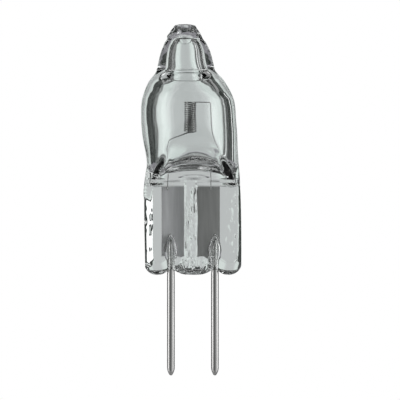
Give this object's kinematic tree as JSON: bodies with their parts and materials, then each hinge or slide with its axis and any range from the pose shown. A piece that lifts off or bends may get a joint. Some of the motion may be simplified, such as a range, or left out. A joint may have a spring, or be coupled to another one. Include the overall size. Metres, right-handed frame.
{
  "type": "halogen capsule bulb",
  "caption": "Clear quartz halogen capsule bulb with an upright coiled filament, sealed foils and straight push-in pins.",
  "frame": {"origin": "midway between the pins, at the height of the lowest point of the pressed glass seal", "axes": "+Z along the pins towards the sealed tip, +X from the left pin to the right pin, -Y the front as pictured"},
  "size_m": [0.0091, 0.0086, 0.0319],
  "materials": {
    "quartz": "clear and glossy",
    "tungsten": "dark drawn wire",
    "molybdenum": "dull rolled foil",
    "pin_wire": "satin drawn wire"
  },
  "bodies": {
    "root": {"envelope": "quartz", "filament": "tungsten", "foil_left": "molybdenum", "foil_right": "molybdenum", "pin_left": "pin_wire", "pin_right": "pin_wire"}
  },
  "joints": []
}
